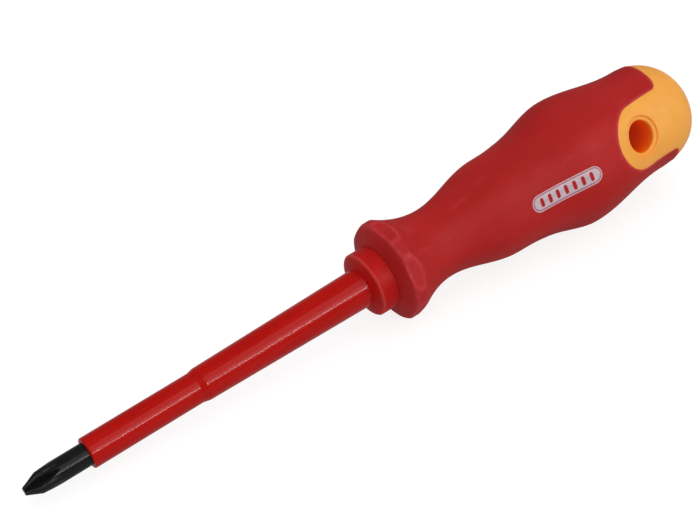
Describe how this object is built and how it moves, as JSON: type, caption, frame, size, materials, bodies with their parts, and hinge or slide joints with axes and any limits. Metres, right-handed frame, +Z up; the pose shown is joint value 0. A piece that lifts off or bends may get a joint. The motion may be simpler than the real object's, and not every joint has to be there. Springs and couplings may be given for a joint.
{
  "type": "insulated screwdriver",
  "caption": "Insulated cross-point screwdriver: steel blade in stepped insulating sleeves, waisted two-colour moulded handle with a hexagonal flange and a hanging hole.",
  "frame": {"origin": "the point of the blade, on the tool's axis", "axes": "+X runs from the point along the axis to the end of the handle; +Z is up with the tool lying on one flat of its flange"},
  "size_m": [0.208, 0.0362, 0.0362],
  "materials": {
    "blade_steel": "satin",
    "sleeve_plastic": "gloss",
    "core_plastic": "satin",
    "grip_rubber": "matte",
    "shell_plastic": "satin",
    "label_print": "matte"
  },
  "bodies": {
    "root": {"blade": "blade_steel", "inner_sleeve": "sleeve_plastic", "outer_sleeve": "sleeve_plastic", "handle_core": "core_plastic", "soft_grip": "grip_rubber", "end_shell": "shell_plastic"}
  },
  "joints": []
}
